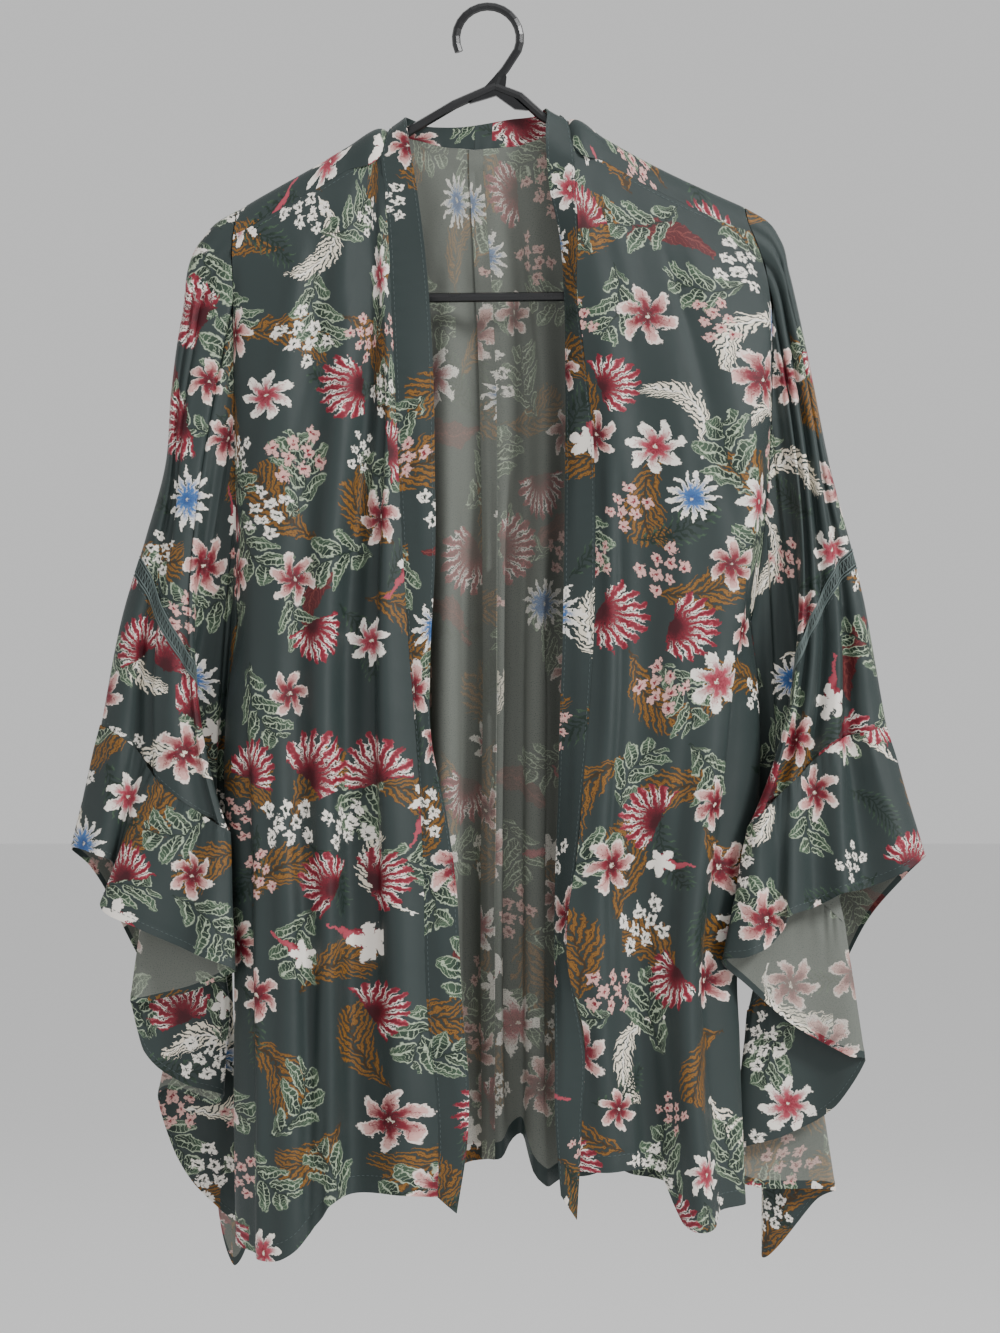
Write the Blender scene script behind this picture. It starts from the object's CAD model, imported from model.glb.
# %% [markdown]
# This lesson dresses a kimono coat that hangs on a tubular hanger. The coat is printed satin: two
# fronts, two back halves, a neck band, and sleeves with a ladder trim and gathered ruffles. The
# solids of the part are loaded first. Each cloth piece is then made again as a thin shell on the
# same named sizes, with finer folds, so that it can stand in for its solid.

# %% Load the part's solids
import math

import bpy
import bmesh
import numpy as np
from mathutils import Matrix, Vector


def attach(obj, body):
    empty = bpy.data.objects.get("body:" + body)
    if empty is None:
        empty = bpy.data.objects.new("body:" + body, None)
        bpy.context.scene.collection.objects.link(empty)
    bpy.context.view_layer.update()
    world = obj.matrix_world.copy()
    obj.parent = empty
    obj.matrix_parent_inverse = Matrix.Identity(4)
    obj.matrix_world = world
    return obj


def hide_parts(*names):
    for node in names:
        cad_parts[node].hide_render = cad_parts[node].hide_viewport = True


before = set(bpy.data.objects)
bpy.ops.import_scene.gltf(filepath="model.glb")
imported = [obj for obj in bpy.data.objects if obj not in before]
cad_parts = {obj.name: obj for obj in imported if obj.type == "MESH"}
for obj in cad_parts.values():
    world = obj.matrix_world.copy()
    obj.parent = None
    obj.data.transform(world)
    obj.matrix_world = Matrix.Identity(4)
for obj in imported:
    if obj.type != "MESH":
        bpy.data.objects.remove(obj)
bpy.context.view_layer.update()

# %% [markdown]
# The camera stands where the photograph was taken from: straight in front, about level with the
# middle of the coat. A long lens from 2.2 m away keeps the sleeves from looking wider than they are.

# %% Camera and studio
MM = 0.001
FRAME_HEIGHT = 1.0
CAMERA_AWAY = 2.2
SENSOR = 36.0
WORLD_STRENGTH = 0.7
AIM = Vector((0.009, 0.0, -0.492))
# Place and size in metres, and power in watts
LIGHTS = {
    "key_light": ((1.9, -1.5, 1.0), (0.6, 0.6), 66.0),
    "fill_light": ((-1.8, -1.8, -0.1), (1.6, 1.8), 4.0),
    "top_light": ((0.0, -0.5, 1.6), (1.6, 1.2), 6.0),
    "back_light": ((0.3, 2.2, 0.6), (2.0, 1.4), 6.0),
}


def add_object(name, data):
    thing = bpy.data.objects.new(name, data)
    bpy.context.scene.collection.objects.link(thing)
    return thing


lens = bpy.data.cameras.new("camera")
lens.sensor_width = SENSOR
lens.lens = SENSOR * CAMERA_AWAY / FRAME_HEIGHT
camera = add_object("camera", lens)
camera.location = AIM + Vector((0.0, -CAMERA_AWAY, 0.0))
camera.rotation_euler = (math.radians(90), 0.0, 0.0)
bpy.context.scene.camera = camera

for name, (place, (wide, high), power) in LIGHTS.items():
    lamp = bpy.data.lights.new(name, "AREA")
    lamp.shape = "RECTANGLE"
    lamp.size, lamp.size_y, lamp.energy = wide, high, power
    light = add_object(name, lamp)
    light.location = place
    light.rotation_euler = (AIM - Vector(place)).to_track_quat("-Z", "Y").to_euler()

world = bpy.data.worlds.new("studio")
bpy.context.scene.world = world
world.use_nodes = True
sky = world.node_tree.nodes["Background"].inputs
sky["Color"].default_value = (1.0, 1.0, 1.0, 1.0)
sky["Strength"].default_value = WORLD_STRENGTH
print("lens", round(lens.lens, 1), "mm,", len(LIGHTS), "lights")

# %% [markdown]
# The folds of the coat are named rows. Each row of a table is one fold, followed from the shoulder
# to the hem, and a smooth curve through the rows gives the cloth between them. These are the same
# rows as in the part's own source, so the thin shells lie inside the walls of the solids.

# %% Shoulder ridge, band and armhole tables
# Gaps at the sewn edges and at the side, and how far the sleeve stands off the armhole
SEAM_GAP = 0.1
SIDE_GAP = 0.6
SEAM_DROP = 19.0
ARMHOLE_STEP = 0.7
SIDE_INSET = 4.0
SLEEVE_LENGTH = 383.0
SIGN = {"left": -1.0, "right": 1.0}

# Height of the shoulder ridge along x: x, z
RIDGE = {
    "left": ((-212, -168), (-186, -150), (-134, -120), (-81, -90), (-58, -81)),
    "right": ((40, -70), (54, -77), (85, -95), (115, -112), (145, -127), (176, -141), (196, -150),
              (214, -159)),
}

# Seam between front and band, and the band's free edge: z, x, y
BAND_SEAM = {
    "left": ((-86, -79, -8), (-108, -78.5, -12), (-172, -74, -18), (-217, -72, -21), (-472, -59, -25),
             (-562, -52, -26), (-637, -48, -27), (-746, -45, -28), (-825, -37, -29), (-886, -37, -29)),
    "right": ((-82, 63, -8), (-101, 63.4, -11.5), (-172, 67, -19), (-211, 66, -21), (-254, 71, -22),
              (-333, 79, -23), (-409, 80, -24), (-517, 76, -25), (-577, 71, -26), (-633, 66, -27),
              (-671, 60, -27), (-713, 59, -27), (-762, 71, -28), (-825, 70, -28), (-902, 66, -28)),
}
BAND_FREE = {
    "left": ((-108, -57, -15), (-172, -48, -21), (-213, -44, -23), (-409, -39, -27), (-558, -40, -28),
             (-595, -32, -28), (-671, -22, -29), (-730, -20, -30), (-810, -14, -31), (-870, -18, -31),
             (-897, -23, -30)),
    "right": ((-101, 43, -10), (-127, 45, -11), (-172, 54, -10), (-211, 57, -8), (-254, 58, -9),
              (-333, 58, -12), (-409, 57, -16), (-460, 56, -18), (-517, 54, -16), (-577, 53, -13),
              (-633, 51, -11), (-671, 50, -10), (-713, 50, -13), (-762, 50, -22), (-825, 50, -26),
              (-884, 54, -27)),
}
# Free edge of the band round the neck: share of the way from centre back to forward seam, x, y, z
BAND_NECK = {
    "left": ((0, -10, 7, -85), (0.14, -20, 8, -86), (0.34, -37, 9, -86), (0.54, -48, 9, -85),
             (0.75, -56, 7.5, -81), (0.82, -60, 4, -80), (0.89, -62, 0, -80.5), (0.94, -61, -6, -84),
             (1.0, -59, -13, -99)),
    "right": ((0, -10, 7, -85), (0.1, 1, 8, -83), (0.31, 17, 9, -80), (0.54, 31, 9, -78.5),
              (0.76, 38, 8.5, -76), (0.83, 42, 5, -73.5), (0.9, 44, 0, -73.5), (0.95, 44, -6, -79),
              (1.0, 43, -12, -93)),
}
# Foot of the band: z at the seam, z at the free edge
BAND_HEM = {"left": (-885, -897), "right": (-902, -884)}

# Armhole from the ridge to the underarm, then the side seam to the hem: x, y, z
ARMHOLE = {
    "left": ((-187, 0, -150.6), (-187.5, 5, -152.5), (-188.5, 9, -159), (-190, 11, -170),
             (-191, 10.5, -182), (-190.5, 9, -200), (-190, 7.5, -240), (-189, 7, -320),
             (-188, 6.5, -400), (-187.5, 4, -448), (-187, 0, -457)),
    "right": ((192, 0, -148.2), (192, 5, -150.2), (193, 9, -156.7), (197, 11, -168), (203, 10.5, -183),
              (208, 9.5, -200), (211, 8.5, -220), (212, 7.5, -255), (210, 7, -337), (206, 6.5, -390),
              (201, 5, -430), (197.5, 2.5, -452), (196, 0, -459)),
}
SIDE_SEAM = {
    "left": ((-457, -187), (-562, -187), (-615, -186), (-712, -181), (-817, -179), (-923, -175)),
    "right": ((-459, 196), (-517, 192), (-596, 186), (-667, 177), (-712, 168), (-772, 169), (-893, 174)),
}

# %% [markdown]
# A front has seven folds and a back half has twelve or thirteen. Counting them in the photo and
# giving each its own row keeps them apart, where one wave formula would make them all alike.

# %% Fold tables of the fronts and the back
# Folds of the fronts from the band to the side
# name, x at shoulder chest waist low hem, y at the same levels, z at the hem
FRONT_LEVELS = (0.0, 0.15, 0.5, 0.76, 1.0)
FRONT_FOLDS = {
    "left": (
        ("band_crest", -83, -77, -77, -68, -64, -11, -24, -29, -32, -33, -883),
        ("long_valley", -88, -86, -103, -100, -99, -11, -15, -16, -17, -17, -884),
        ("middle_crest", -104, -104, -122, -117, -116, -11, -26, -30, -34, -36, -890),
        ("shallow", -125, -126, -141, -135, -132, -11, -21, -24, -27, -30, -912),
        ("side_crest", -146, -148, -159, -154, -153, -11, -25, -30, -35, -37, -930),
        ("flank", -166, -170, -176, -171, -168, -11, -20, -25, -29, -31, -931),
        ("side_turn", -181, -185, -186, -179, -174, -11, -13, -15, -16, -17, -927),
    ),
    "right": (
        ("band_crest", 71, 84, 93, 84, 88, -11, -25, -29, -31, -34, -866),
        ("flat_front", 88, 105, 114, 101, 108, -11, -23, -26, -26, -30, -865),
        ("hem_valley", 111, 130, 135, 118, 127, -11, -24, -28, -21, -18, -868),
        ("middle_crest", 133, 154, 154, 135, 144, -11, -26, -31, -33, -35, -904),
        ("side_crest", 154, 175, 171, 150, 159, -11, -26, -30, -37, -40, -909),
        ("flank", 171, 193, 183, 160, 169, -11, -22, -24, -30, -34, -905),
        ("side_turn", 184, 208, 190, 166, 173, -11, -15, -15, -17, -18, -897),
    ),
}
# Foot of a front at the band's seam, and how far the side edge's foot lies above the last fold's
FRONT_SEAM_HEM = {"left": -885, "right": -866}
SIDE_HEM_RISE = {"front": 2, "back": 1}
# Folds of the back halves from the centre back to the side
# name, ridge z, start, x at yoke chest waist low hem, y at the same levels, z at the hem
# start is where the cloth begins on the shoulder profile: 0 at the forward seam, 1 at the yoke
BACK_LEVELS = (0.08, 0.2, 0.52, 0.77, 1.0)
BACK_FOLDS = {
    "left": (
        ("centre", -94, 0.85, -10, -4, 2, 1, 1, 12, 22, 24, 26, 28, -866),
        ("dark_valley", -93, 0.85, -20, -15, -10, -12, -10, 11, 24, 32, 37, 38, -869),
        ("lit_ridge", -92, 0.85, -33, -32, -30, -30, -27, 10, 18, 17, 24, 20, -871),
        ("valley_2", -89, 0.84, -48, -51, -48, -45, -42, 9, 24, 30, 36, 34, -870),
        ("ridge_2", -86, 0.82, -64, -69, -68, -63, -60, 9, 22, 22, 22, 22, -872),
        ("neck_point", -88, 0.55, -73, -80, -80, -76, -73, 9, 24, 28, 30, 30, -874),
        ("neck_seam", -88.6, 0.0, -79, -88, -90, -87, -84, 9, 27, 34, 36, 36, -876),
        ("ridge_3", -104, 0.0, -106, -111, -114, -111, -108, 10, 22, 24, 24, 24, -880),
        ("valley_4", -118, 0.0, -130, -135, -138, -135, -132, 10, 28, 34, 38, 38, -888),
        ("ridge_4", -132, 0.0, -154, -159, -162, -159, -153, 10, 22, 25, 26, 28, -905),
        ("flank", -143, 0.0, -174, -177, -177, -173, -167, 10, 18, 23, 25, 27, -918),
        ("side_turn", -148.5, 0.0, -183, -185, -185, -180, -174, 9, 12, 14, 15, 16, -923),
    ),
    "right": (
        ("centre", -94, 0.85, -10, -4, 2, 1, 1, 12, 22, 24, 26, 28, -866),
        ("lit_ridge", -93, 0.85, 1, 9, 11, 9, 9, 10, 20, 17, 22, 22, -865),
        ("dark_valley", -92, 0.85, 13, 24, 26, 25, 25, 10, 25, 33, 38, 38, -848),
        ("ridge_2", -89.5, 0.85, 28, 39, 43, 42, 44, 9, 20, 16, 20, 18, -885),
        ("valley_2", -83, 0.83, 45, 55, 60, 58, 60, 9, 24, 30, 34, 34, -880),
        ("neck_point", -79.5, 0.55, 56, 68, 72, 70, 72, 9, 23, 24, 24, 24, -878),
        ("neck_seam", -81.6, 0.0, 63, 76, 82, 78, 80, 9, 24, 26, 26, 26, -877),
        ("valley_3", -96, 0.0, 87, 98, 103, 97, 98, 10, 27, 34, 36, 36, -876),
        ("ridge_3", -111, 0.0, 114, 125, 128, 119, 117, 10, 22, 24, 24, 24, -878),
        ("valley_4", -125, 0.0, 141, 153, 154, 139, 137, 10, 28, 34, 36, 36, -885),
        ("ridge_4", -136, 0.0, 165, 180, 175, 153, 154, 10, 22, 25, 26, 28, -893),
        ("flank", -143, 0.0, 180, 199, 186, 161, 166, 10, 16, 18, 20, 22, -896),
        ("side_turn", -146, 0.0, 187, 209, 191, 165, 172, 9, 11, 11, 12, 13, -895),
    ),
}
# Shoulder profile over the hanger's arm: start value, y, drop below the ridge
SHOULDER = ((0.0, -11.0, 19.0), (0.25, -9.0, 8.5), (0.42, -5.0, 2.0), (0.55, 0.0, 0.0), (0.68, 5.0, 2.0),
            (0.85, 9.0, 9.0), (1.0, 10.0, 28.0))
print("folds of the fronts", {side: len(rows) for side, rows in FRONT_FOLDS.items()})

# %% [markdown]
# A wide sleeve on a narrow hanger falls together like a fan. Its rows go once round the cuff, and
# each one says where a fold or the middle of a leg hangs, at the cuff seam and at the ruffle's hem.

# %% Sleeve tables
# Sleeve folds round the cuff, from the outer fold down the front to the underarm and up the back
# name, cuff seam x y z, ruffle hem x y z
CUFF = {
    "left": (
        ("top_fold", -290, 2, -536, -313, 4, -628),
        ("wing", -275, -11, -544, -293, -15, -632),
        ("wing_valley", -261, -6, -556, -280, -7, -641),
        ("front_edge", -248, -17, -574, -288, -20, -670),
        ("front_crest", -230, -23, -590, -259, -29, -686),
        ("shallow", -214, -19, -601, -226, -24, -701),
        ("inner_crest", -201, -25, -609, -205, -33, -709),
        ("inner_turn_1", -193, -19, -615, -189, -26, -716),
        ("leg_2", -198, -9, -624, -194, -13, -722),
        ("leg_2_middle", -227, -4, -647, -222, -6, -735),
        ("leg_2_end", -253, -2, -664, -261, -3, -744),
        ("outer_turn_2", -259, 3, -671, -268, 3, -745),
        ("leg_3", -252, 8, -682, -259, 9, -782),
        ("leg_3_middle", -223, 11, -716, -232, 12, -805),
        ("inner_turn_3", -196, 15, -742, -200, 16, -816),
        ("leg_4", -203, 22, -750, -208, 24, -824),
        ("outer_turn_4", -236, 27, -750, -250, 30, -816),
        ("leg_5", -233, 36, -764, -238, 41, -866),
        ("leg_5_middle", -206, 39, -793, -206, 45, -907),
        ("inner_turn_5", -193, 43, -810, -185, 48, -927),
        ("underarm", -201, 50, -825, -196, 56, -952),
        ("back_1", -212, 60, -780, -212, 67, -878),
        ("back_2", -226, 52, -718, -234, 56, -802),
        ("back_3", -243, 53, -650, -257, 58, -742),
        ("back_4", -265, 42, -592, -282, 46, -686),
        ("back_5", -284, 20, -548, -302, 24, -643),
    ),
    "right": (
        ("top_fold", 299, 2, -538, 328, 4, -634),
        ("wing", 285, -11, -540, 309, -15, -646),
        ("wing_valley", 268, -6, -544, 282, -7, -658),
        ("second_crest", 259, -20, -549, 264, -26, -660),
        ("second_valley", 240, -14, -564, 243, -17, -671),
        ("third_crest", 227, -23, -577, 223, -30, -677),
        ("third_valley", 216, -19, -588, 214, -23, -694),
        ("front_crest", 203, -27, -601, 193, -36, -706),
        ("inner_turn_1", 194, -19, -612, 174, -26, -710),
        ("leg_2", 201, -9, -622, 189, -13, -726),
        ("leg_2_middle", 234, -4, -654, 228, -6, -760),
        ("leg_2_end", 262, -2, -680, 271, -3, -784),
        ("outer_turn_2", 268, 3, -687, 283, 3, -789),
        ("leg_3", 259, 8, -696, 262, 9, -823),
        ("leg_3_middle", 226, 11, -725, 225, 12, -845),
        ("inner_turn_3", 197, 15, -751, 184, 16, -861),
        ("leg_4", 204, 22, -760, 196, 24, -885),
        ("outer_turn_4", 244, 27, -770, 260, 31, -890),
        ("leg_5", 241, 36, -800, 250, 41, -900),
        ("underarm", 212, 48, -842, 211, 54, -946),
        ("back_1", 215, 59, -790, 218, 66, -885),
        ("back_2", 234, 52, -722, 239, 56, -808),
        ("back_3", 251, 53, -658, 262, 58, -750),
        ("back_4", 272, 42, -600, 288, 46, -690),
        ("back_5", 292, 20, -551, 318, 24, -649),
    ),
}
# How far the outer fold of the sleeve stands out from a straight line: length share, distance
OUTER_FOLD = {
    "left": ((0, 0), (0.02, 12), (0.05, 20), (0.2, 21), (0.35, 14), (0.49, 4), (0.63, 4), (0.78, 6),
             (1, 0)),
    "right": ((0, 0), (0.02, 12), (0.06, 20), (0.12, 20), (0.28, 17), (0.5, 11), (0.7, 10), (1, 0)),
}
# Trim insert along the sleeve, as shares of its length
TRIM = {"left": (0.672, 0.708), "right": (0.657, 0.692)}
print("sleeve folds", {side: len(rows) for side, rows in CUFF.items()})

# %% [markdown]
# A curve through the rows has to bend round a fold without swinging past it. The slope at each
# row leans to its nearer neighbour, or for the zigzag sleeves to its farther one, which keeps the
# legs of a fold straight and its turn tight.

# %% Curves on whole arrays of places
def hermite(places, points, at, turns=False):
    """Points at the places `at` on a smooth curve through rows, all as arrays."""
    t = np.asarray(places, float)
    p = np.asarray(points, float)
    span = np.diff(t)[:, None]
    rise = np.diff(p, axis=0) / span
    slope = np.empty_like(p)
    slope[0], slope[-1] = rise[0], rise[-1]
    before, after = span[:-1], span[1:]
    if turns:
        slope[1:-1] = (rise[:-1] * before + rise[1:] * after) / (before + after)
    else:
        slope[1:-1] = (rise[:-1] * after + rise[1:] * before) / (before + after)
    i = np.clip(np.searchsorted(t, at, side="right") - 1, 0, len(t) - 2)
    s = np.clip((at - t[i]) / (t[i + 1] - t[i]), 0.0, 1.0)[:, None]
    width = span[i]
    return (p[i] * (2 * s ** 3 - 3 * s ** 2 + 1) + slope[i] * width * (s ** 3 - 2 * s ** 2 + s)
            + p[i + 1] * (3 * s ** 2 - 2 * s ** 3) + slope[i + 1] * width * (s ** 3 - s ** 2))


def table_curve(rows, t):
    """Values of a table at t, whose first column is the parameter."""
    ordered = sorted(rows)
    places = [row[0] for row in ordered]
    at = np.clip(np.atleast_1d(np.asarray(t, float)), places[0], places[-1])
    return hermite(places, [row[1:] for row in ordered], at)


def smooth_step(low, high, t):
    s = np.clip((np.asarray(t, float) - low) / (high - low), 0.0, 1.0)
    return s * s * (3 - 2 * s)


def unit(vectors):
    return vectors / np.maximum(np.linalg.norm(vectors, axis=-1, keepdims=True), 1e-9)


def lengths_of(points, axis=0):
    """Lengths of the steps from point to point along one axis of an array of points."""
    return np.linalg.norm(np.diff(points, axis=axis), axis=-1)


def running(steps):
    """Running total of the steps, from 0."""
    return np.concatenate(([0.0], np.cumsum(steps)))

# %% [markdown]
# The armhole is where body and sleeve meet, so both read it from one table. From the underarm
# down, the same edge goes on as the side seam.

# %% Armhole and side seam
ARMHOLE_SHARE = 0.38
YOKE_LEVEL = BACK_LEVELS[0]
# Share of the armhole from which front and back part by the side gap
PART_FROM = 0.9


def ridge_height(side, x):
    return float(table_curve(RIDGE[side], x)[0, 0])


def armhole_points(side, shares, facing):
    """Points on the armhole: shares run from 0 at the ridge to 1 at the underarm."""
    rows = np.array(ARMHOLE[side], float)
    steps = lengths_of(rows)
    places = running(steps) / steps.sum()
    points = hermite(places, rows, np.atleast_1d(np.asarray(shares, float)))
    points[:, 1] *= facing
    return points


DENSE_SHARES = np.linspace(0.0, 1.0, 801)
ARMHOLE_HEIGHTS = {side: armhole_points(side, DENSE_SHARES, 1)[:, 2] for side in SIGN}


def share_at_height(side, z):
    """Share of the armhole's length where it is down to the height z."""
    return float(np.interp(-z, -ARMHOLE_HEIGHTS[side], DENSE_SHARES))


def side_edge(side, v, facing, top, hem):
    """Outer edge of a front or back: along the armhole, then down the side seam."""
    if v <= ARMHOLE_SHARE:
        start = share_at_height(side, top)
        share = start + (1 - start) * v / ARMHOLE_SHARE
        point = armhole_points(side, share, facing)[0]
        point[1] += facing * SIDE_GAP / 2 * float(smooth_step(PART_FROM, 1.0, share))
        return point
    z_arm = ARMHOLE[side][-1][2]
    z = z_arm + (hem - z_arm) * (v - ARMHOLE_SHARE) / (1 - ARMHOLE_SHARE)
    return np.array((table_curve(SIDE_SEAM[side], z)[0, 0], facing * SIDE_GAP / 2, z))

# %% Fold rows of the fronts
# Height where the band's seam meets the forward shoulder seam, and how soon the side is set in
SEAM_TOP = -105.0
INSET_BY = {"front": 0.12, "back": 0.18}


def front_rows(side, v):
    """Points of one level of a front, from the band to the side."""
    folds, sign = FRONT_FOLDS[side], SIGN[side]
    seam_top = ridge_height(side, table_curve(BAND_SEAM[side], SEAM_TOP)[0, 0]) - SEAM_DROP - SEAM_GAP
    z = seam_top + (FRONT_SEAM_HEM[side] - seam_top) * v
    seam = table_curve(BAND_SEAM[side], z)[0]
    rows = [np.array((seam[0] + sign * SEAM_GAP / 2, seam[1], z))]
    for fold in folds:
        top = ridge_height(side, fold[1]) - SEAM_DROP - SEAM_GAP
        knots = [(fold[1 + k], fold[6 + k], top + (fold[11] - top) * level)
                 for k, level in enumerate(FRONT_LEVELS)]
        rows.append(hermite(FRONT_LEVELS, knots, np.array([v]))[0])
    edge_top = ARMHOLE[side][0][2] - SEAM_DROP - SEAM_GAP
    edge = side_edge(side, v, -1, edge_top, folds[-1][11] + SIDE_HEM_RISE["front"])
    inset = edge[0] - sign * SIDE_INSET - rows[-1][0]
    rows[-1][0] += inset * float(smooth_step(0.0, INSET_BY["front"], v))
    rows.append(edge)
    return np.array(rows)

# %% Fold rows of the back halves
def back_starts(side):
    """For each back row, its x, ridge height and start on the shoulder profile."""
    starts = []
    for fold in BACK_FOLDS[side]:
        ridge = fold[1] if fold[2] > 0 else ridge_height(side, fold[3])
        starts.append([fold[3], ridge, fold[2]])
    edge = ARMHOLE[side][0]
    starts.append([edge[0], edge[2], 0.0])
    starts[0][0] += SIGN[side] * SEAM_GAP / 2
    return starts


def over_arm(side, start, share, at_edge):
    """Point of a back row on the way over the hanger's arm."""
    x, ridge, begin = start
    y, drop = table_curve(SHOULDER, begin + (1 - begin) * share)[0]
    point = np.array((x, y, ridge - drop))
    if at_edge:
        edge = armhole_points(side, share_at_height(side, point[2]), 1)[0]
        point[0] += edge[0] - ARMHOLE[side][0][0]
    return point


def back_rows(side, v):
    """Points of one level of a back half, from the centre seam to the side."""
    folds, starts, sign = BACK_FOLDS[side], back_starts(side), SIGN[side]
    level = max(v, YOKE_LEVEL)
    rows = []
    for fold, start in zip(folds, starts):
        yoke_z = start[1] - SHOULDER[-1][2]
        drop = (fold[13] - yoke_z) / (1 - YOKE_LEVEL)
        knots = [(fold[3 + k], fold[8 + k], yoke_z + drop * (mark - YOKE_LEVEL))
                 for k, mark in enumerate(BACK_LEVELS)]
        rows.append(hermite(BACK_LEVELS, knots, np.array([level]))[0])
    rows[0][0] += sign * SEAM_GAP / 2
    edge_top = ARMHOLE[side][0][2] - SHOULDER[-1][2]
    lower = max(0.0, (level - YOKE_LEVEL) / (1 - YOKE_LEVEL))
    edge = side_edge(side, lower, 1, edge_top, folds[-1][13] + SIDE_HEM_RISE["back"])
    inset = edge[0] - sign * SIDE_INSET - rows[-1][0]
    rows[-1][0] += inset * float(smooth_step(YOKE_LEVEL, INSET_BY["back"], level))
    rows.append(edge)
    rows = np.array(rows)
    if v < YOKE_LEVEL:
        share = v / YOKE_LEVEL
        blend = float(smooth_step(0.5, 1.0, share))
        over, end = (np.array([over_arm(side, start, place, start is starts[-1]) for start in starts])
                     for place in (share, 1.0))
        rows = over + (rows - end) * blend
    return rows


def row_places(rows_at, samples=(0.1, 0.3, 0.6, 0.9)):
    """Places of the fold rows across a piece, by their mean spacing, from 0 to 1."""
    step = np.mean([lengths_of(rows_at(v)) for v in samples], axis=0)
    return running(step) / step.sum()


def row_grid(rows_at, levels, columns):
    """Grid of points over fold rows: one line of it for each level."""
    places = row_places(rows_at)
    return np.array([hermite(places, rows_at(v), columns) for v in levels])

# %% [markdown]
# The band follows the edges of the back and the fronts, so its seam is taken from their own rows.
# Its free edge has a table of its own. Along the fronts it bows out a little, as doubled cloth does.

# %% Band of the neck and the front edge
BAND_LEVELS = (0.04, 0.09, 0.15, 0.22, 0.3, 0.39, 0.48, 0.56, 0.64, 0.71, 0.77, 0.83, 0.89, 0.95, 1.0)
NECK_STATIONS = 15
SHORT_STATION = 5.0
BAND_BOW = 1.2


def band_lines(side):
    """Seam and free edge of a band half, as stations from the centre back to the foot."""
    sign = SIGN[side]
    names = [fold[0] for fold in BACK_FOLDS[side]]
    places = row_places(lambda v: back_rows(side, v))
    seam_end = places[names.index("neck_seam")]
    neck = row_grid(lambda v: back_rows(side, v), [0.0], np.linspace(0.0, seam_end, NECK_STATIONS))[0]
    free_neck = table_curve(BAND_NECK[side], np.linspace(0.0, 1.0, NECK_STATIONS))
    seams, frees = list(neck), list(free_neck)
    for level in BAND_LEVELS:
        seam = front_rows(side, level)[0] - np.array((sign * SEAM_GAP / 2, 0, 0))
        free = table_curve(BAND_FREE[side], seam[2])[0]
        seams.append(seam)
        frees.append(np.array((free[0], free[1], seam[2])))
    seam_foot, free_foot = BAND_HEM[side]
    seam = table_curve(BAND_SEAM[side], seam_foot)[0]
    free = table_curve(BAND_FREE[side], free_foot)[0]
    if seams[-1][2] - seam_foot < SHORT_STATION:
        seams.pop()
        frees.pop()
    seams.append(np.array((seam[0], seam[1], seam_foot)))
    frees.append(np.array((free[0], free[1], free_foot)))
    return np.array(seams), np.array(frees)


def band_grid(side, levels, columns):
    seams, frees = band_lines(side)
    steps = (lengths_of(seams) + lengths_of(frees)) / 2
    places = running(steps) / steps.sum()
    seam = hermite(places, seams, levels)
    free = hermite(places, frees, levels)
    seam = seam + unit(free - seam) * SEAM_GAP
    grid = seam[:, None] + (free - seam)[:, None] * columns[None, :, None]
    grid[:, :, 1] -= BAND_BOW * np.sin(np.pi * columns)[None] * smooth_step(0.15, 0.3, levels)[:, None]
    return grid

# %% [markdown]
# The sleeve is a tube from the armhole to the cuff seam. Lofting straight between the two rings
# would cut through the folds, so the folds come in by degrees: depth first, the hidden legs later.

# %% Sleeve tube from the armhole to the cuff
# How fast a sleeve takes on its depth, its folds and its hidden legs on the way down
EARLY_DEPTH, FOLD_DELAY, LEG_DELAY = 0.65, 1.5, 0.85
TOP_SHARE = 0.16


def sleeve_rows(side):
    """Places of the rows round the sleeve and closed lists of cuff, hem and mean points."""
    rows = CUFF[side]
    names = [row[0] for row in rows]
    first, under = names.index("inner_turn_1"), names.index("underarm")
    cuffs = np.array([row[1:4] for row in rows], float)
    hems = np.array([row[4:7] for row in rows], float)
    lengths = running(lengths_of(np.vstack((cuffs, cuffs[:1]))))
    total, count = lengths[-1], len(rows)
    means = []
    for k in range(count):
        if k <= under:
            share = lengths[k] / lengths[under]
        else:
            share = (total - lengths[k]) / (total - lengths[under])
        mean = cuffs[0] + (cuffs[under] - cuffs[0]) * share
        if first < k < under:
            share = (lengths[k] - lengths[first]) / (lengths[under] - lengths[first])
            mean[1] = cuffs[first][1] + (cuffs[under][1] - cuffs[first][1]) * share
        else:
            mean[1] = sum(cuffs[(k + j) % count][1] for j in range(-2, 3)) / 5
        means.append(mean)
    places = lengths / total

    def loop(points):
        t = np.concatenate((places[-3:-1] - 1, places[:-1], places[:3] + 1))
        return t, np.vstack((points[-2:], points, points[:3]))

    return places, names, loop(cuffs), loop(hems), loop(means)


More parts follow.
